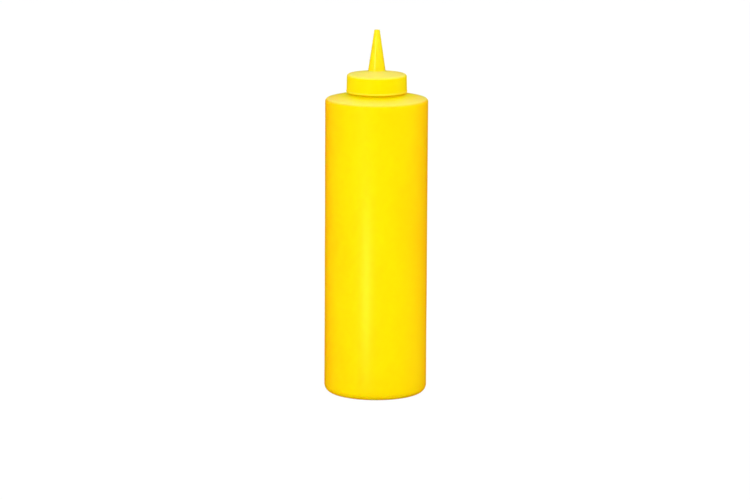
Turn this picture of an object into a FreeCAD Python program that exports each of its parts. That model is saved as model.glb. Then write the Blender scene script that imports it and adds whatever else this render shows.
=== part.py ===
import FreeCAD, Part
import math
import os

# A 0.7 litre squeeze bottle, as used for sauces: one blow moulding with a
# screwed-on cap whose pouring nozzle is moulded in one with it.
#
# Both pieces are bodies of revolution about Z. The bottle stands on z = 0 with
# its axis on Z, and the nozzle points up +Z. All sizes are in millimetres.

# ---- Bottle ----------------------------------------------------------------
BODY_DIAMETER = 70.0
SHOULDER_HEIGHT = 202.6      # where the line of the wall would meet the shoulder
SHOULDER_SLOPE = 13.0        # degrees above level, rising to the neck
SHOULDER_EDGE_RADIUS = 2.0
HEEL_RADIUS = 5.0            # rounding between the wall and the standing ring

STANDING_RING_WIDTH = 3.0    # flat ring that the bottle rests on
PUSH_UP_HEIGHT = 3.0         # how far the middle of the base is raised
PUSH_UP_SLOPE = 45.0         # degrees, side of the raised panel
PUSH_UP_FOOT_RADIUS = 1.5
PUSH_UP_PANEL_RADIUS = 2.5   # rounding between the slope and the level panel
PINCH_OFF_LENGTH = 36.0      # welded line left where the mould closed the base
PINCH_OFF_WIDTH = 1.2
PINCH_OFF_HEIGHT = 0.6

NECK_DIAMETER = 37.5         # over the crests of a 38 mm screw finish
NECK_WALL = 2.0
NECK_ROOT_RADIUS = 1.5
NECK_LIP_RADIUS = 0.6

# ---- Cap -------------------------------------------------------------------
CAP_CLEARANCE = 0.3          # between the neck and the bore of the skirt
CAP_LIFT = 1.0               # foot of the skirt above the root of the neck
CAP_HEIGHT = 12.0            # foot of the skirt to the rim
SKIRT_WALL = 1.5             # at the foot, where it is thickest
SKIRT_DRAFT = 1.25           # degrees, on the outside only
SKIRT_EDGE_RADIUS = 0.4
RIM_RADIUS = 1.6
BEAD_HEIGHT = 1.4            # raised ring round the foot of the skirt
BEAD_STAND_OUT = 0.25
BEAD_CREST_RADIUS = 1.0
BEAD_BLEND_RADIUS = 0.4
DECK_THICKNESS = 1.5
DECK_SLOPE = 8.5             # degrees above level, rising to the nozzle

# ---- Nozzle ----------------------------------------------------------------
NOZZLE_LENGTH = 28.2         # deck to tip
NOZZLE_FOOT_DIAMETER = 12.0
NOZZLE_FOOT_FILLET = 1.2
NOZZLE_FOOT_WALL = 1.4
BORE_MOUTH_RADIUS = 1.4      # rounding where the bore opens under the deck
TIP_DIAMETER = 3.7
TIP_BORE_DIAMETER = 2.2
TIP_EDGE_RADIUS = 0.25

AXIS_START = FreeCAD.Vector(0, 0, 0)
AXIS_DIRECTION = FreeCAD.Vector(0, 0, 1)


def rise(run, slope):
    """Height gained over a level run at a slope in degrees."""
    return run * math.tan(math.radians(slope))


def corner_arc(before, corner, after, radius):
    """The arc that rounds one corner, tangent to both of its sides."""
    back = (before - corner).normalize()
    ahead = (after - corner).normalize()
    half_angle = back.getAngle(ahead) / 2
    to_tangent = radius / math.tan(half_angle)
    to_centre = radius / math.sin(half_angle)
    inward = (back + ahead).normalize()
    start = corner + back * to_tangent
    middle = corner + inward * (to_centre - radius)
    end = corner + ahead * to_tangent
    return Part.Arc(start, middle, end).toShape()


def turned(corners):
    """Revolve a closed outline of (radius, height, rounding) corners about Z."""
    points = [FreeCAD.Vector(radius, 0, height) for radius, height, _ in corners]
    roundings = [rounding for _, _, rounding in corners]
    count = len(corners)
    arcs = {}
    for i in range(count):
        if roundings[i] > 0:
            following = points[(i + 1) % count]
            arcs[i] = corner_arc(points[i - 1], points[i], following, roundings[i])

    edges = []
    for i in range(count):
        following = (i + 1) % count
        if i in arcs:
            edges.append(arcs[i])
        start = arcs[i].lastVertex().Point if i in arcs else points[i]
        end = arcs[following].firstVertex().Point if following in arcs else points[following]
        edges.append(Part.LineSegment(start, end).toShape())
    face = Part.Face(Part.Wire(edges))
    return face.revolve(AXIS_START, AXIS_DIRECTION, 360)


# ---- Levels and radii that both pieces share --------------------------------
body_radius = BODY_DIAMETER / 2
neck_radius = NECK_DIAMETER / 2
mouth_radius = neck_radius - NECK_WALL
neck_root_height = SHOULDER_HEIGHT + rise(body_radius - neck_radius, SHOULDER_SLOPE)
skirt_foot_height = neck_root_height + CAP_LIFT
rim_height = skirt_foot_height + CAP_HEIGHT
seat_height = rim_height - DECK_THICKNESS      # the cap's deck sits on the neck here


def make_bottle():
    """The bottle: base, straight wall, sloping shoulder and neck, in one."""
    ring_outer_radius = body_radius - HEEL_RADIUS
    ring_inner_radius = ring_outer_radius - STANDING_RING_WIDTH
    panel_radius = ring_inner_radius - PUSH_UP_HEIGHT / math.tan(math.radians(PUSH_UP_SLOPE))
    bottle = turned([
        (0, PUSH_UP_HEIGHT, 0),
        (panel_radius, PUSH_UP_HEIGHT, PUSH_UP_PANEL_RADIUS),
        (ring_inner_radius, 0, PUSH_UP_FOOT_RADIUS),
        (body_radius, 0, HEEL_RADIUS),
        (body_radius, SHOULDER_HEIGHT, SHOULDER_EDGE_RADIUS),
        (neck_radius, neck_root_height, NECK_ROOT_RADIUS),
        (neck_radius, seat_height, NECK_LIP_RADIUS),
        (0, seat_height, 0),
    ])

    # The pinch-off stands down from the raised panel, along the mould's
    # parting plane, and stays clear of what the bottle stands on.
    pinch_off = Part.makeBox(PINCH_OFF_LENGTH, PINCH_OFF_WIDTH, 2 * PINCH_OFF_HEIGHT)
    pinch_off.translate(FreeCAD.Vector(
        -PINCH_OFF_LENGTH / 2, -PINCH_OFF_WIDTH / 2, PUSH_UP_HEIGHT - PINCH_OFF_HEIGHT))
    return bottle.fuse(pinch_off).removeSplitter()


def make_cap():
    """The cap: skirt, deck and hollow nozzle, one thin-walled moulding."""
    bore_radius = neck_radius + CAP_CLEARANCE
    skirt_foot_radius = bore_radius + SKIRT_WALL
    skirt_rim_radius = skirt_foot_radius - rise(CAP_HEIGHT, SKIRT_DRAFT)
    bead_top_radius = skirt_foot_radius - rise(BEAD_HEIGHT, SKIRT_DRAFT)

    nozzle_foot_radius = NOZZLE_FOOT_DIAMETER / 2
    nozzle_bore_radius = nozzle_foot_radius - NOZZLE_FOOT_WALL
    nozzle_foot_height = rim_height + rise(skirt_rim_radius - nozzle_foot_radius, DECK_SLOPE)
    nozzle_bore_height = nozzle_foot_height - DECK_THICKNESS
    tip_height = nozzle_foot_height + NOZZLE_LENGTH
    return turned([
        (bore_radius, skirt_foot_height, SKIRT_EDGE_RADIUS),
        (skirt_foot_radius, skirt_foot_height, SKIRT_EDGE_RADIUS),
        (skirt_foot_radius + BEAD_STAND_OUT, skirt_foot_height + BEAD_HEIGHT / 2, BEAD_CREST_RADIUS),
        (bead_top_radius, skirt_foot_height + BEAD_HEIGHT, BEAD_BLEND_RADIUS),
        (skirt_rim_radius, rim_height, RIM_RADIUS),
        (nozzle_foot_radius, nozzle_foot_height, NOZZLE_FOOT_FILLET),
        (TIP_DIAMETER / 2, tip_height, TIP_EDGE_RADIUS),
        (TIP_BORE_DIAMETER / 2, tip_height, TIP_EDGE_RADIUS),
        (nozzle_bore_radius, nozzle_bore_height, BORE_MOUTH_RADIUS),
        (mouth_radius, seat_height, 0),
        (bore_radius, seat_height, 0),
    ])


os.makedirs("parts", exist_ok=True)
for node, shape in {"bottle": make_bottle(), "cap": make_cap()}.items():
    shape.exportStep("parts/" + node + ".step")
    size = shape.BoundBox
    print(node, "valid" if shape.isValid() else "NOT VALID", len(shape.Solids), "solid",
          "volume %.0f mm3" % shape.Volume, "z %.2f to %.2f" % (size.ZMin, size.ZMax))
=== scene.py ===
import math

import bmesh
import bpy
from mathutils import Matrix, Vector


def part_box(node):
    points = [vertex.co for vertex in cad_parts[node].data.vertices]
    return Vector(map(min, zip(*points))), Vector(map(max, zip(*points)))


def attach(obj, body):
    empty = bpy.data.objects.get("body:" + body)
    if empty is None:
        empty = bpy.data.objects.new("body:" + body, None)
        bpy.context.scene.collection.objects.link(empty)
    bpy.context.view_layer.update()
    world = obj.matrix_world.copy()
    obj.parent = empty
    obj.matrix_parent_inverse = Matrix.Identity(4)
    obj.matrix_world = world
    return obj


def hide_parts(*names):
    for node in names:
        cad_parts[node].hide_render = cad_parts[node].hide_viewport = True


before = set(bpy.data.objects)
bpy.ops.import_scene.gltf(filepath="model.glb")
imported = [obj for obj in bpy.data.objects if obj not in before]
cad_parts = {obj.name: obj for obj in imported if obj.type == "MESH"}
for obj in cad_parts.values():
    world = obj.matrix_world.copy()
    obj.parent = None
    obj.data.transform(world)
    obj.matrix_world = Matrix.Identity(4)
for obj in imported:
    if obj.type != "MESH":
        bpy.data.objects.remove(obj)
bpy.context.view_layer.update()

MM = 0.001
SIDES = 192                              # flats round each piece, 1.1 mm wide on the wall
TOUCHING = 0.01 * MM                     # places closer than this count as one
MERGE_DISTANCE = 0.002 * MM
CRISP_ANGLE = math.radians(35)           # an edge that turns by more isn't shaded smooth

# ---- Places that come from the frame ----------------------------------------
bottle_low, bottle_high = (Vector(corner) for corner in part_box("bottle"))
cap_low, cap_high = (Vector(corner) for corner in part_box("cap"))

# ---- Bottle: one blow moulding ----------------------------------------------
SHOULDER_SLOPE = math.radians(13.0)
SHOULDER_HEIGHT = 202.6 * MM
SHOULDER_EDGE_RADIUS = 2.0 * MM
HEEL_RADIUS = 5.0 * MM
STANDING_RING_WIDTH = 3.0 * MM
PUSH_UP_HEIGHT = 3.0 * MM
PUSH_UP_SLOPE = math.radians(45.0)
PUSH_UP_FOOT_RADIUS = 1.5 * MM
PUSH_UP_PANEL_RADIUS = 2.5 * MM
PINCH_OFF_LENGTH = 36.0 * MM
PINCH_OFF_WIDTH = 1.2 * MM
PINCH_OFF_HEIGHT = 0.6 * MM
PINCH_OFF_TAPER = (0.97, 0.6, 1)         # its crest against its foot: length, width, height
NECK_RADIUS = 18.75 * MM
NECK_WALL = 2.0 * MM
NECK_ROOT_RADIUS = 1.5 * MM
NECK_LIP_RADIUS = 0.6 * MM
PARTING_LINE_WIDTH = 0.5 * MM
PARTING_LINE_HEIGHT = 0.08 * MM
WALL_CUTS = 63                           # rings cut round the wall, so that it can wave
WALL_WAVE_LENGTH = 28.0 * MM
WALL_WAVE_DEPTH = 0.10 * MM
WALL_WAVE_FADE = 10.0 * MM               # over this height the waves die out, top and bottom

# ---- Cap: skirt, deck and nozzle in one moulding ----------------------------
CAP_CLEARANCE = 0.3 * MM
SKIRT_WALL = 1.5 * MM
SKIRT_DRAFT = math.radians(1.25)
SKIRT_EDGE_RADIUS = 0.4 * MM
CAP_HEIGHT = 12.0 * MM
RIM_RADIUS = 1.6 * MM
BEAD_HEIGHT = 1.4 * MM
BEAD_STAND_OUT = 0.25 * MM
BEAD_CREST_RADIUS = 1.0 * MM
BEAD_BLEND_RADIUS = 0.4 * MM
DECK_THICKNESS = 1.5 * MM
DECK_SLOPE = math.radians(8.5)
NOZZLE_FOOT_RADIUS = 6.0 * MM
NOZZLE_FOOT_FILLET = 1.2 * MM
NOZZLE_FOOT_WALL = 1.4 * MM
BORE_MOUTH_RADIUS = 1.4 * MM
TIP_RADIUS = 1.85 * MM
TIP_BORE_RADIUS = 1.1 * MM
TIP_EDGE_RADIUS = 0.25 * MM

body_radius = (bottle_high.x - bottle_low.x) / 2
seat_height = bottle_high.z                     # the deck of the cap sits on the neck here
skirt_foot_height = cap_low.z
rim_height = skirt_foot_height + CAP_HEIGHT
tip_height = cap_high.z
neck_root_height = SHOULDER_HEIGHT + (body_radius - NECK_RADIUS) * math.tan(SHOULDER_SLOPE)


# ---- Working a mesh by hand --------------------------------------------------
def edit(piece):
    """Open one piece for editing with nothing selected."""
    bpy.ops.object.select_all(action="DESELECT")
    bpy.context.view_layer.objects.active = piece
    piece.select_set(True)
    bpy.ops.object.mode_set(mode="EDIT")
    bpy.ops.mesh.select_mode(type="VERT")
    bpy.ops.mesh.select_all(action="DESELECT")


def select(piece, kind, wanted):
    """Select only the vertices, edges or faces for which wanted() holds."""
    bpy.ops.mesh.select_mode(type={"verts": "VERT", "edges": "EDGE", "faces": "FACE"}[kind])
    bpy.ops.mesh.select_all(action="DESELECT")
    mesh = bmesh.from_edit_mesh(piece.data)
    for element in getattr(mesh, kind):
        if wanted(element):
            element.select_set(True)
    mesh.select_flush_mode()
    bmesh.update_edit_mesh(piece.data)


def on_ring(vertex, radius, height, within=0.02 * MM):
    reach = math.hypot(vertex.co.x, vertex.co.y)
    return abs(reach - radius) < within and abs(vertex.co.z - height) < within


def select_ring(piece, radius, height):
    select(piece, "edges", lambda edge: all(on_ring(v, radius, height) for v in edge.verts))


def faces_up(face):
    return face.normal.z > 0.9


def faces_down(face):
    return face.normal.z < -0.9


def faces_sideways(face):
    return abs(face.normal.z) < 0.2


def widen(factor):
    """Scale what is selected out from the axis."""
    bpy.ops.transform.resize(value=(factor, factor, 1), center_override=(0, 0, 0))


def pull(start, end):
    """Extrude the selected rim from one (radius, height) to another."""
    lift = end[1] - start[1]
    bpy.ops.mesh.extrude_region_move(TRANSFORM_OT_translate={"value": (0, 0, lift)})
    widen(end[0] / start[0])


def round_rings(piece, rings):
    """Round ring edges: each is a ring, its radius, the angle turned there, and segments."""
    for ring, radius, turn, segments in rings:
        select_ring(piece, *ring)
        bpy.ops.mesh.bevel(offset=radius * math.tan(turn / 2), offset_type="OFFSET",
                           segments=segments, profile=0.5, affect="EDGES", clamp_overlap=False)


def finish_mesh(piece):
    """Close seams, turn faces outwards and shade the rounded surfaces smooth."""
    bpy.ops.mesh.select_mode(type="VERT")
    bpy.ops.mesh.select_all(action="SELECT")
    bpy.ops.mesh.remove_doubles(threshold=MERGE_DISTANCE)
    bpy.ops.mesh.normals_make_consistent(inside=False)
    bpy.ops.object.mode_set(mode="OBJECT")
    bpy.ops.object.transform_apply(location=True, rotation=True, scale=True)
    bpy.ops.object.shade_smooth_by_angle(angle=CRISP_ANGLE)


def add_cylinder(name, radius, low, high):
    bpy.ops.object.select_all(action="DESELECT")
    bpy.ops.mesh.primitive_cylinder_add(vertices=SIDES, radius=radius, depth=high - low,
                                        end_fill_type="NGON", location=(0, 0, (low + high) / 2))
    piece = bpy.context.object
    piece.name = piece.data.name = name
    bpy.ops.object.transform_apply(location=True, rotation=True, scale=True)
    return piece


# ---- The bottle ---------------------------------------------------------------
def model_bottle():
    """Body, base, shoulder and neck, pulled out of one cylinder."""
    wall_radius = body_radius - PARTING_LINE_HEIGHT
    wall_top = (wall_radius, SHOULDER_HEIGHT)
    neck_root = (NECK_RADIUS, neck_root_height)
    neck_lip = (NECK_RADIUS, seat_height)
    heel = (wall_radius, 0)
    ring_edge = (body_radius - HEEL_RADIUS - STANDING_RING_WIDTH, 0)
    panel_edge = (ring_edge[0] - PUSH_UP_HEIGHT / math.tan(PUSH_UP_SLOPE), PUSH_UP_HEIGHT)

    bottle = add_cylinder("bottle_body", wall_radius, 0, SHOULDER_HEIGHT)
    edit(bottle)
    select(bottle, "faces", faces_up)
    pull(wall_top, neck_root)
    pull(neck_root, neck_lip)
    select(bottle, "faces", faces_down)
    pull(heel, ring_edge)
    pull(ring_edge, panel_edge)

    quarter = math.pi / 2
    shoulder_turn = quarter - SHOULDER_SLOPE
    round_rings(bottle, (
        (heel, HEEL_RADIUS, quarter, 12),
        (ring_edge, PUSH_UP_FOOT_RADIUS, PUSH_UP_SLOPE, 5),
        (panel_edge, PUSH_UP_PANEL_RADIUS, PUSH_UP_SLOPE, 6),
        (wall_top, SHOULDER_EDGE_RADIUS, shoulder_turn, 10),
        (neck_root, NECK_ROOT_RADIUS, shoulder_turn, 7),
        (neck_lip, NECK_LIP_RADIUS, quarter, 4),
    ))
    raise_pinch_off(bottle)
    raise_parting_line(bottle)
    divide_wall(bottle)
    finish_mesh(bottle)
    unevenness(bottle)
    return bottle


def raise_pinch_off(bottle):
    """The welded line across the base, cut out of the raised panel and pulled down."""
    half_length, half_width = PINCH_OFF_LENGTH / 2, PINCH_OFF_WIDTH / 2
    panel_tolerance = 0.1 * MM

    def on_panel(face):
        drop = abs(face.calc_center_median().z - PUSH_UP_HEIGHT)
        return faces_down(face) and drop < panel_tolerance

    for axis, reach in ((Vector((0, 1, 0)), half_width), (Vector((1, 0, 0)), half_length)):
        for side in (-1, 1):
            select(bottle, "faces", on_panel)
            bpy.ops.mesh.bisect(plane_co=axis * reach * side, plane_no=axis)

    def in_line(face):
        middle = face.calc_center_median()
        return on_panel(face) and abs(middle.y) < half_width and abs(middle.x) < half_length

    select(bottle, "faces", in_line)
    bpy.ops.mesh.extrude_region_move(TRANSFORM_OT_translate={"value": (0, 0, -PINCH_OFF_HEIGHT)})
    bpy.ops.transform.resize(value=PINCH_OFF_TAPER, center_override=(0, 0, 0))


def raise_parting_line(bottle):
    """The fine ridge where the two halves of the mould met, up both sides."""
    neck_side = NECK_RADIUS * 0.99
    shoulder_foot = NECK_RADIUS * 1.05      # the ridge stops short of the neck, under the cap
    off_the_floor = HEEL_RADIUS * 0.2       # the bottle stands on its ring, not on the ridge
    longest_step = 20 * MM                  # an edge that reaches further crosses the base

    def up_the_side(edge):
        first, last = edge.verts
        return (all(abs(v.co.y) < TOUCHING and abs(v.co.x) > neck_side for v in edge.verts)
                and abs(first.co.x - last.co.x) < longest_step)

    def on_crest(vertex):
        return (abs(vertex.co.y) < TOUCHING and abs(vertex.co.x) > shoulder_foot
                and vertex.co.z > off_the_floor)

    select(bottle, "edges", up_the_side)
    bpy.ops.mesh.bevel(offset=PARTING_LINE_WIDTH / 2, offset_type="OFFSET", segments=2,
                       profile=0.5, affect="EDGES")
    select(bottle, "verts", on_crest)
    bpy.ops.transform.shrink_fatten(value=PARTING_LINE_HEIGHT)


def divide_wall(bottle):
    """Cut the tall faces of the wall across, so that it can be slightly uneven."""
    select(bottle, "edges", lambda edge: edge.calc_length() > SHOULDER_HEIGHT / 2)
    bpy.ops.mesh.subdivide(number_cuts=WALL_CUTS)


def unevenness(bottle):
    """A blown wall cools unevenly: long shallow waves, only ever inwards."""
    wall = bottle.vertex_groups.new(name="wall")
    low, high = HEEL_RADIUS * 2, SHOULDER_HEIGHT - SHOULDER_EDGE_RADIUS * 2
    for vertex in bottle.data.vertices:
        inside = min(vertex.co.z - low, high - vertex.co.z)
        if inside > 0:
            wall.add([vertex.index], min(inside / WALL_WAVE_FADE, 1), "REPLACE")
    waves = bpy.data.textures.new("wall_waves", "CLOUDS")
    waves.noise_scale = WALL_WAVE_LENGTH
    waves.noise_depth = 0
    displace = bottle.modifiers.new("wall_waves", "DISPLACE")
    displace.texture = waves
    displace.texture_coords = "LOCAL"
    displace.vertex_group = "wall"
    displace.mid_level = 1.0
    displace.strength = WALL_WAVE_DEPTH
    bpy.ops.object.modifier_apply(modifier=displace.name)
    bottle.vertex_groups.clear()


# ---- The cap --------------------------------------------------------------------
def model_cap():
    """Skirt, deck and hollow nozzle, pulled out of one cylinder and back down inside it."""
    skirt_bore_radius = NECK_RADIUS + CAP_CLEARANCE
    skirt_radius = skirt_bore_radius + SKIRT_WALL
    draft = math.tan(SKIRT_DRAFT)
    foot = (skirt_radius, skirt_foot_height)
    rim = (skirt_radius - CAP_HEIGHT * draft, rim_height)
    deck_rise = (rim[0] - NOZZLE_FOOT_RADIUS) * math.tan(DECK_SLOPE)
    nozzle_foot = (NOZZLE_FOOT_RADIUS, rim_height + deck_rise)
    tip = (TIP_RADIUS, tip_height)
    tip_bore = (TIP_BORE_RADIUS, tip_height)
    bore_mouth = (NOZZLE_FOOT_RADIUS - NOZZLE_FOOT_WALL, nozzle_foot[1] - DECK_THICKNESS)
    land_edge = (NECK_RADIUS - NECK_WALL, seat_height)
    land_corner = (skirt_bore_radius, seat_height)
    inner_foot = (skirt_bore_radius, skirt_foot_height)
    bead_crest = (skirt_radius + BEAD_STAND_OUT, skirt_foot_height + BEAD_HEIGHT / 2)
    bead_top = (skirt_radius - BEAD_HEIGHT * draft, skirt_foot_height + BEAD_HEIGHT)

    cap = add_cylinder("nozzle_cap", skirt_radius, skirt_foot_height, rim_height)
    edit(cap)
    select(cap, "faces", faces_up)
    widen(rim[0] / foot[0])
    route = [rim, nozzle_foot, tip, tip_bore, bore_mouth, land_edge, land_corner, inner_foot]
    for start, end in zip(route, route[1:]):
        pull(start, end)
    # The two discs left at the foot come out, and the wall between them is closed.
    select(cap, "faces", lambda face: len(face.verts) == SIDES)
    bpy.ops.mesh.delete(type="ONLY_FACE")
    select(cap, "edges", lambda edge: edge.is_boundary)
    bpy.ops.mesh.bridge_edge_loops()

    def outside_of_skirt(face):
        reach = math.hypot(*face.calc_center_median().xy)
        return faces_sideways(face) and reach > skirt_bore_radius + SKIRT_WALL / 2

    for _, height in (bead_crest, bead_top):
        select(cap, "faces", outside_of_skirt)
        bpy.ops.mesh.bisect(plane_co=(0, 0, height), plane_no=(0, 0, 1))
    radius_before = skirt_radius - BEAD_HEIGHT / 2 * draft
    select_ring(cap, radius_before, bead_crest[1])
    widen(bead_crest[0] / radius_before)

    quarter = math.pi / 2
    bead_lean = math.atan(BEAD_STAND_OUT / (BEAD_HEIGHT / 2))
    nozzle_taper = math.atan((NOZZLE_FOOT_RADIUS - TIP_RADIUS) / (tip_height - nozzle_foot[1]))
    bore_taper = math.atan((bore_mouth[0] - TIP_BORE_RADIUS) / (tip_height - bore_mouth[1]))
    under_slope = math.atan((bore_mouth[1] - seat_height) / (land_edge[0] - bore_mouth[0]))
    round_rings(cap, (
        (inner_foot, SKIRT_EDGE_RADIUS, quarter, 3),
        (foot, SKIRT_EDGE_RADIUS, quarter - bead_lean, 3),
        (bead_crest, BEAD_CREST_RADIUS, 2 * bead_lean, 5),
        (bead_top, BEAD_BLEND_RADIUS, bead_lean - SKIRT_DRAFT, 2),
        (rim, RIM_RADIUS, quarter - SKIRT_DRAFT - DECK_SLOPE, 8),
        (nozzle_foot, NOZZLE_FOOT_FILLET, quarter - nozzle_taper - DECK_SLOPE, 9),
        (tip, TIP_EDGE_RADIUS, quarter - nozzle_taper, 4),
        (tip_bore, TIP_EDGE_RADIUS, quarter - bore_taper, 4),
        (bore_mouth, BORE_MOUTH_RADIUS, quarter - bore_taper - under_slope, 6),
    ))
    finish_mesh(cap)
    return cap


# ---- Materials --------------------------------------------------------------------
# The last colour of each set is a painted sheen: a pale colour painted on surfaces that face up,
# in place of the light from above that they reflect.
BOTTLE_YELLOW, BOTTLE_STREAK, BOTTLE_PAINTED_SHEEN = "#FFEE00", "#FFE800", "#FFE484"
CAP_YELLOW, CAP_STREAK, CAP_PAINTED_SHEEN = "#FFE300", "#FDE100", "#FFEC80"
POLYETHYLENE_IOR = 1.51
SKIN_IOR = 1.05                          # so near to air that the skin tints but doesn't shine


def linear(hex_colour):
    """An sRGB hex colour as linear red, green, blue and alpha."""
    channels = [int(hex_colour[i:i + 2], 16) / 255 for i in (1, 3, 5)]
    return [c / 12.92 if c <= 0.04045 else ((c + 0.055) / 1.055) ** 2.4 for c in channels] + [1.0]


def add_node(tree, kind, settings=None, links=None):
    """Add one node, give its sockets or properties their values, and link its inputs."""
    node = tree.nodes.new(kind)
    for name, value in (settings or {}).items():
        if isinstance(name, int) or name in node.inputs:
            node.inputs[name].default_value = value
        else:
            setattr(node, name, value)
    for name, source in (links or {}).items():
        tree.links.new(source, node.inputs[name])
    return node


def new_material(name):
    material = bpy.data.materials.new(name)
    material.use_nodes = True
    material.node_tree.nodes.clear()
    return material, material.node_tree


def pigment(tree, place, colour, streak_colour, across, along):
    """Masterbatch colour, stirred in not quite evenly: two tones in streaks of a given size."""
    spread = add_node(tree, "ShaderNodeMapping", {"Scale": (1 / across, 1 / across, 1 / along)},
                      {"Vector": place})
    swirl = add_node(tree, "ShaderNodeTexNoise", {"Scale": 1.0, "Detail": 3.0, "Roughness": 0.45},
                     {"Vector": spread.outputs["Vector"]})
    tones = add_node(tree, "ShaderNodeValToRGB", {}, {"Fac": swirl.outputs["Fac"]})
    streak, body = tones.color_ramp.elements
    streak.position, streak.color = 0.35, linear(streak_colour)
    body.position, body.color = 0.65, linear(colour)
    return tones.outputs["Color"]


def from_axis(tree, place):
    """Distance from the bottle's axis."""
    level = add_node(tree, "ShaderNodeVectorMath", {"operation": "MULTIPLY", 1: (1, 1, 0)},
                     {0: place})
    reach = add_node(tree, "ShaderNodeVectorMath", {"operation": "LENGTH"},
                     {0: level.outputs["Vector"]})
    return reach.outputs["Value"]


def painted_top_sheen(tree, colour, sheen_colour, painted_sheen_share, edge):
    """Surfaces that face up get a pale colour painted on them: a painted sheen in place of the
    reflection of the light from above.

    edge is how far up a surface must face before the sheen is painted on at all: 0 is upright and
    1 is level. How far up each point faces is returned as well.
    """
    full = edge + 0.5
    facing = add_node(tree, "ShaderNodeTexCoord").outputs["Normal"]
    upward = add_node(tree, "ShaderNodeSeparateXYZ", {}, {"Vector": facing}).outputs["Z"]
    ledge = add_node(tree, "ShaderNodeMapRange",
                     {"interpolation_type": "SMOOTHSTEP", "From Min": edge, "From Max": full},
                     {"Value": upward})
    amount = add_node(tree, "ShaderNodeMath", {"operation": "MULTIPLY"},
                      {0: ledge.outputs["Result"], 1: painted_sheen_share})
    sheened = add_node(tree, "ShaderNodeMix", {"data_type": "RGBA", 7: linear(sheen_colour)},
                     {0: amount.outputs["Value"], 6: colour})
    return sheened.outputs[2], upward


def clear_skin(tree, upward, left):
    """The clear amber skin over the pigment, made thin on whatever faces up, so that those
    surfaces come out paler: painted light from above.

    Its tint deepens where the eye skims along the wall, because the line of
    sight runs further through it there. left is how much of it a level
    surface keeps.
    """
    skin = add_node(tree, "ShaderNodeMapRange",
                    {"From Min": 0.6, "From Max": 0.97, "To Min": 1.0, "To Max": left},
                    {"Value": upward})
    return skin.outputs["Result"]


def blown_polyethylene():
    """Low-density polyethylene, blow-moulded: a satin, faintly drawn skin.

    Light goes in some way before it comes back, red furthest and blue hardly at
    all, so that the shaded side stays a warm yellow and never turns olive.
    """
    # Where the painted sheen on the shoulder starts and where it is full.
    sheen_starts, sheen_is_full = 23 * MM, 31 * MM      # from the axis; the cap's foot is at 21 mm
    die_line_width, die_line_length = 1.11 * MM, 71.4 * MM
    dimple_spacing = 1.3 * MM
    relief_depth = 0.05 * MM

    material, tree = new_material("blown_low_density_polyethylene")
    place = add_node(tree, "ShaderNodeTexCoord").outputs["Object"]
    pigmented = pigment(tree, place, BOTTLE_YELLOW, BOTTLE_STREAK, 25 * MM, 83.3 * MM)
    # The painted sheen grows from the foot of the cap out to the shoulder's edge: near the cap it
    # is held back, as painted shade from the cap.
    painted_sheen_share = add_node(tree, "ShaderNodeMapRange",
                    {"From Min": sheen_starts, "From Max": sheen_is_full, "To Max": 0.46},
                    {"Value": from_axis(tree, place)})
    # Whatever faces up is painted paler here: a painted sheen for the light from above.
    skin_colour, upward = painted_top_sheen(tree, pigmented, BOTTLE_PAINTED_SHEEN, painted_sheen_share.outputs["Result"], 0.3)

    # Die lines: the molten tube is drawn downwards, which leaves fine upright streaks.
    drawn = add_node(tree, "ShaderNodeMapping",
                     {"Scale": (1 / die_line_width, 1 / die_line_width, 1 / die_line_length)},
                     {"Vector": place})
    die_lines = add_node(tree, "ShaderNodeTexNoise", {"Scale": 1.0, "Detail": 2.0},
                         {"Vector": drawn.outputs["Vector"]})
    # Orange peel: dimples a little over a millimetre apart, from the blasted mould.
    dimples = add_node(tree, "ShaderNodeTexNoise", {"Scale": 1 / dimple_spacing, "Detail": 2.0},
                       {"Vector": place})
    relief = add_node(tree, "ShaderNodeMath", {"operation": "MULTIPLY_ADD", 1: 0.5},
                      {0: die_lines.outputs["Fac"], 2: dimples.outputs["Fac"]})
    bump = add_node(tree, "ShaderNodeBump", {"Strength": 0.12, "Distance": relief_depth},
                    {"Height": relief.outputs["Value"]})
    gloss = add_node(tree, "ShaderNodeMapRange", {"To Min": 0.29, "To Max": 0.37},
                     {"Value": dimples.outputs["Fac"]})
    shader = add_node(tree, "ShaderNodeBsdfPrincipled", {
        "IOR": POLYETHYLENE_IOR, "Specular IOR Level": 0.25, "Specular Tint": linear("#FFF880"),
        "Coat Roughness": 0.5, "Coat IOR": SKIN_IOR, "Coat Tint": linear("#FFEBBC"),
        "Subsurface Weight": 0.7, "Subsurface Radius": (1.0, 0.3, 0.05),
        "Subsurface Scale": 16 * MM,
    }, {"Base Color": skin_colour, "Roughness": gloss.outputs["Result"],
        "Normal": bump.outputs["Normal"], "Coat Weight": clear_skin(tree, upward, 0.1)})
    add_node(tree, "ShaderNodeOutputMaterial", {}, {"Surface": shader.outputs["BSDF"]})
    return material


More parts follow.
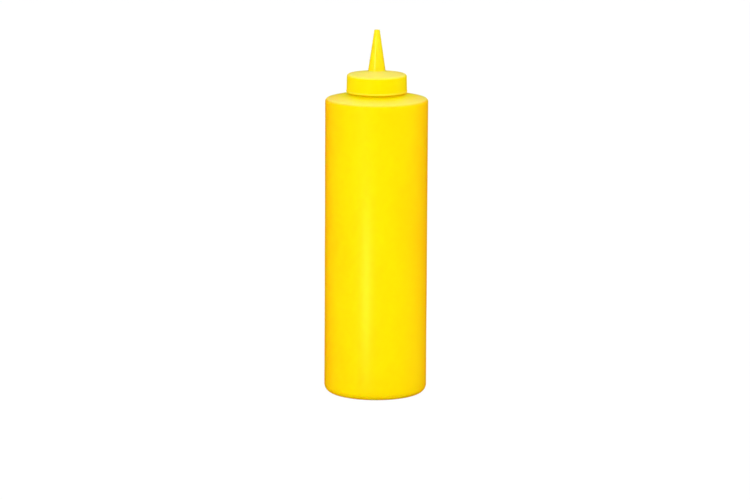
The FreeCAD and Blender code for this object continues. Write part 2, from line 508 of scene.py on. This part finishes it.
def moulded_polyethylene():
    """Low-density polyethylene, injection-moulded: smoother and a shade more lemon.

    The walls are thin, so light goes only a little way in before it comes back.
    """
    patch_size = 6 * MM
    bead_foot, bead_crest = 20.55 * MM, 20.75 * MM    # from the axis
    polish_ends, texture_starts = 6.3 * MM, 6.8 * MM  # from the axis, round the nozzle's foot
    grain_size = 0.5 * MM
    grain_depth = 0.03 * MM

    material, tree = new_material("moulded_low_density_polyethylene")
    place = add_node(tree, "ShaderNodeTexCoord").outputs["Object"]
    pigmented = pigment(tree, place, CAP_YELLOW, CAP_STREAK, 16.7 * MM, 16.7 * MM)
    # The deck and the rounding of the rim get the painted sheen, stronger in patches.
    patches = add_node(tree, "ShaderNodeTexNoise", {"Scale": 1 / patch_size, "Detail": 2.0},
                       {"Vector": place})
    painted_sheen_share = add_node(tree, "ShaderNodeMapRange",
                    {"From Min": 0.2, "From Max": 0.6, "To Min": 0.6, "To Max": 0.75},
                    {"Value": patches.outputs["Fac"]})
    # Here the pale painted sheen goes onto whatever faces up.
    ledges, upward = painted_top_sheen(tree, pigmented, CAP_PAINTED_SHEEN, painted_sheen_share.outputs["Result"], 0.1)
    # The bead stands out from the skirt, and the pale colour is painted on it too: a painted
    # highlight where its top catches the light.
    reach = from_axis(tree, place)
    bead_sheen = add_node(tree, "ShaderNodeMapRange",
                    {"From Min": bead_foot, "From Max": bead_crest, "To Max": 0.3},
                    {"Value": reach})
    skin_colour = add_node(tree, "ShaderNodeMix", {"data_type": "RGBA", 7: linear(CAP_PAINTED_SHEEN)},
                           {0: bead_sheen.outputs["Result"], 6: ledges})

    # Spark-eroded tool: a fine even grain, drawn coarser than it is so that it shows.
    grain = add_node(tree, "ShaderNodeTexNoise", {"Scale": 1 / grain_size, "Detail": 2.0},
                     {"Vector": place})
    # The nozzle comes from a polished part of the tool, so it has hardly any grain and
    # carries a narrow pale glint where the rest is satin.
    textured = add_node(tree, "ShaderNodeMapRange",
                        {"From Min": polish_ends, "From Max": texture_starts},
                        {"Value": reach}).outputs["Result"]
    relief = add_node(tree, "ShaderNodeMapRange", {"To Min": 0.01, "To Max": 0.10},
                      {"Value": textured})
    bump = add_node(tree, "ShaderNodeBump", {"Distance": grain_depth},
                    {"Height": grain.outputs["Fac"], "Strength": relief.outputs["Result"]})
    gloss = add_node(tree, "ShaderNodeMapRange", {"To Min": 0.16, "To Max": 0.44},
                     {"Value": textured})
    glint = add_node(tree, "ShaderNodeMix",
                     {"data_type": "RGBA", 6: linear("#FFFFFF"), 7: linear("#FFF040")},
                     {0: textured})
    shader = add_node(tree, "ShaderNodeBsdfPrincipled", {
        "IOR": POLYETHYLENE_IOR, "Specular IOR Level": 0.4,
        "Coat Roughness": 0.4, "Coat IOR": SKIN_IOR, "Coat Tint": linear("#FFFABC"),
        "Subsurface Weight": 0.5, "Subsurface Radius": (1.0, 0.4, 0.05),
        "Subsurface Scale": 3 * MM,
    }, {"Base Color": skin_colour.outputs[2], "Roughness": gloss.outputs["Result"],
        "Normal": bump.outputs["Normal"], "Specular Tint": glint.outputs[2],
        "Coat Weight": clear_skin(tree, upward, 0.3)})
    add_node(tree, "ShaderNodeOutputMaterial", {}, {"Surface": shader.outputs["BSDF"]})
    return material


def dress(piece, material):
    piece.data.materials.clear()
    piece.data.materials.append(material)


# ---- Studio ---------------------------------------------------------------------------
ROOM_LEVEL = 0.73                        # how strongly the room lights the object
HORIZON_LEVEL = 0.04                     # the room as the skin mirrors it, low down
CEILING_LEVEL = 0.4                      # and overhead
CEILING_STARTS, CEILING_IS_FULL = 0.2, 0.5    # how far up: 0 is level and 1 is straight up
FLOOR_SIZE = 12.0
FLOOR_SHARE = 0.95                       # of the floor that is plain white; the rest is paper
FLOOR_WHITE = 1.02                       # makes up for what the paper's share lacks
PAPER = "#EEEEEE"
PAPER_IN_THE_SKIN = "#404040"
CAMERA_DISTANCE = 2.6
CAMERA_PITCH = math.radians(10.75)
CAMERA_ROLL = math.radians(0.31)
CAMERA_TARGET = Vector((-0.60 * MM, 0, 98.2 * MM))
LENS = 182.7
FAR_CLIP = 50

# Lamps: name, place, target, width and height in metres, and power in watts.
MIDDLE = (0, 0, 0.11)
SOFTBOXES = (
    ("key", (-1.75, -0.95, 0.6), MIDDLE, 2.6, 2.6, 9),
    ("fill", (1.75, -0.95, 0.6), MIDDLE, 2.6, 2.6, 19),
    ("top", (0, 0.7, 1.5), MIDDLE, 2.8, 2.8, 13),
)
NOZZLE_STRIP = ("strip", (-0.82, -1.37, 0.42), (0, 0, 0.2), 0.3, 0.8, 6.5)
# This one stands low and close, in line with the streak that it makes on the lower wall.
WALL_STRIP = ("low_strip", (-0.068, -0.194, 0.046), (-0.006, -0.034, 0.046), 0.04, 0.09, 0.24)


def set_world():
    """White behind the object, and a dim horizon under a brighter ceiling in its skin."""
    world = bpy.data.worlds.new("studio")
    bpy.context.scene.world = world
    world.use_nodes = True
    tree = world.node_tree
    tree.nodes.clear()
    path = add_node(tree, "ShaderNodeLightPath")
    way = add_node(tree, "ShaderNodeTexCoord")
    height = add_node(tree, "ShaderNodeSeparateXYZ", {}, {"Vector": way.outputs["Generated"]})
    mirrored = add_node(tree, "ShaderNodeMapRange",
                        {"From Min": CEILING_STARTS, "From Max": CEILING_IS_FULL,
                         "To Min": HORIZON_LEVEL, "To Max": CEILING_LEVEL},
                        {"Value": height.outputs["Z"]})
    level = add_node(tree, "ShaderNodeMath", {"operation": "MAXIMUM"},
                     {0: path.outputs["Is Camera Ray"], 1: mirrored.outputs["Result"]})
    seen = add_node(tree, "ShaderNodeMath", {"operation": "MAXIMUM"},
                    {0: path.outputs["Is Camera Ray"], 1: path.outputs["Is Glossy Ray"]})
    seen = add_node(tree, "ShaderNodeMath", {"operation": "MAXIMUM"},
                    {0: seen.outputs["Value"], 1: path.outputs["Is Transmission Ray"]})
    room = add_node(tree, "ShaderNodeBackground",
                    {"Color": linear("#FFFFFF"), "Strength": ROOM_LEVEL})
    backdrop = add_node(tree, "ShaderNodeBackground", {"Color": linear("#FFFFFF")},
                        {"Strength": level.outputs["Value"]})
    mix = add_node(tree, "ShaderNodeMixShader", {},
                   {0: seen.outputs["Value"], 1: room.outputs["Background"],
                    2: backdrop.outputs["Background"]})
    add_node(tree, "ShaderNodeOutputWorld", {}, {"Surface": mix.outputs["Shader"]})


def add_floor():
    """White paper, which shows a trace of the object's shadow."""
    bpy.ops.mesh.primitive_plane_add(size=FLOOR_SIZE, location=(0, 0, 0))
    floor = bpy.context.object
    floor.name = "floor"
    material, tree = new_material("white_paper")
    path = add_node(tree, "ShaderNodeLightPath")
    # The table is kept dim in the object's skin, so that the sides stay as yellow as the front.
    shade = add_node(tree, "ShaderNodeMix",
                     {"data_type": "RGBA", 6: linear(PAPER), 7: linear(PAPER_IN_THE_SKIN)},
                     {0: path.outputs["Is Glossy Ray"]})
    paper = add_node(tree, "ShaderNodeBsdfDiffuse", {}, {"Color": shade.outputs[2]})
    white = add_node(tree, "ShaderNodeEmission",
                     {"Color": linear("#FFFFFF"), "Strength": FLOOR_WHITE})
    share = add_node(tree, "ShaderNodeMath", {"operation": "MULTIPLY", 1: FLOOR_SHARE},
                     {0: path.outputs["Is Camera Ray"]})
    mix = add_node(tree, "ShaderNodeMixShader", {},
                   {0: share.outputs["Value"], 1: paper.outputs["BSDF"],
                    2: white.outputs["Emission"]})
    add_node(tree, "ShaderNodeOutputMaterial", {}, {"Surface": mix.outputs["Shader"]})
    dress(floor, material)


def add_lamp(name, place, target, width, height, power, mirrored=False, lights=True):
    """A flat lamp aimed at a target.

    Unless it is mirrored, the satin skin doesn't show its outline. One that
    doesn't light anything shows only as a highlight.
    """
    lamp = bpy.data.lights.new(name, "AREA")
    lamp.shape = "RECTANGLE"
    lamp.size = width
    lamp.size_y = height
    lamp.energy = power
    light = bpy.data.objects.new(name, lamp)
    light.location = place
    way = Vector(target) - Vector(place)
    light.rotation_euler = way.to_track_quat("-Z", "Y").to_euler()
    light.visible_glossy = mirrored
    light.visible_diffuse = lights
    light.visible_camera = False
    bpy.context.collection.objects.link(light)


def add_camera():
    camera_data = bpy.data.cameras.new("camera")
    camera_data.lens = LENS
    camera_data.clip_end = FAR_CLIP
    camera = bpy.data.objects.new("camera", camera_data)
    bpy.context.collection.objects.link(camera)
    offset = Vector((0, -math.cos(CAMERA_PITCH), math.sin(CAMERA_PITCH))) * CAMERA_DISTANCE
    facing = (-offset).to_track_quat("-Z", "Y").to_matrix().to_4x4()
    camera.matrix_world = (Matrix.Translation(CAMERA_TARGET + offset) @ facing
                           @ Matrix.Rotation(CAMERA_ROLL, 4, "Z"))
    bpy.context.scene.camera = camera


# ---- Putting it together -----------------------------------------------------------------
bottle_body = model_bottle()
dress(bottle_body, blown_polyethylene())
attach(bottle_body, "root")
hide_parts("bottle")

nozzle_cap = model_cap()
dress(nozzle_cap, moulded_polyethylene())
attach(nozzle_cap, "root")
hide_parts("cap")

set_world()
add_floor()
for softbox in SOFTBOXES:
    add_lamp(*softbox)
add_lamp(*NOZZLE_STRIP, mirrored=True)
add_lamp(*WALL_STRIP, mirrored=True, lights=False)
add_camera()
bpy.context.scene.view_settings.view_transform = "Standard"
